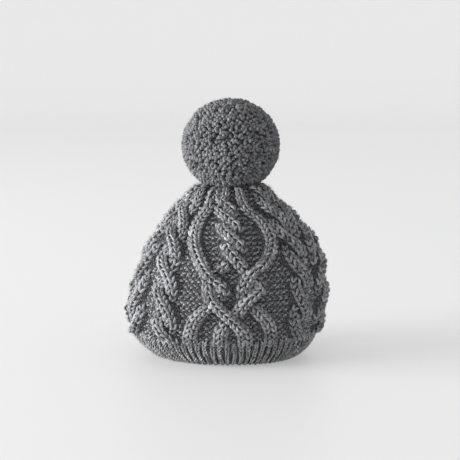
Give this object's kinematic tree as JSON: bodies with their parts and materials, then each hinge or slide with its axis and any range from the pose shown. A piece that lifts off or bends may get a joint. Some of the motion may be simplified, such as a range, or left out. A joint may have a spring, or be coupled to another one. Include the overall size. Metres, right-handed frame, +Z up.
{
  "type": "tea cosy",
  "caption": "Cable-knit tea cosy, seamed at the sides with slits for a spout and a handle, gathered at the crown under a large pompom.",
  "frame": {"origin": "on the table, under the middle of the cosy's width and depth", "axes": "+Z up, -Y towards the front half, -X towards the spout's slit, +X towards the handle's slit"},
  "size_m": [0.1816, 0.1639, 0.2312],
  "materials": {
    "knit": "matt marled wool, cable-knit",
    "pompom": "matt cut pile of the same yarn"
  },
  "bodies": {
    "root": {"panel_front": "knit", "panel_back": "knit", "pompom": "pompom"}
  },
  "joints": []
}
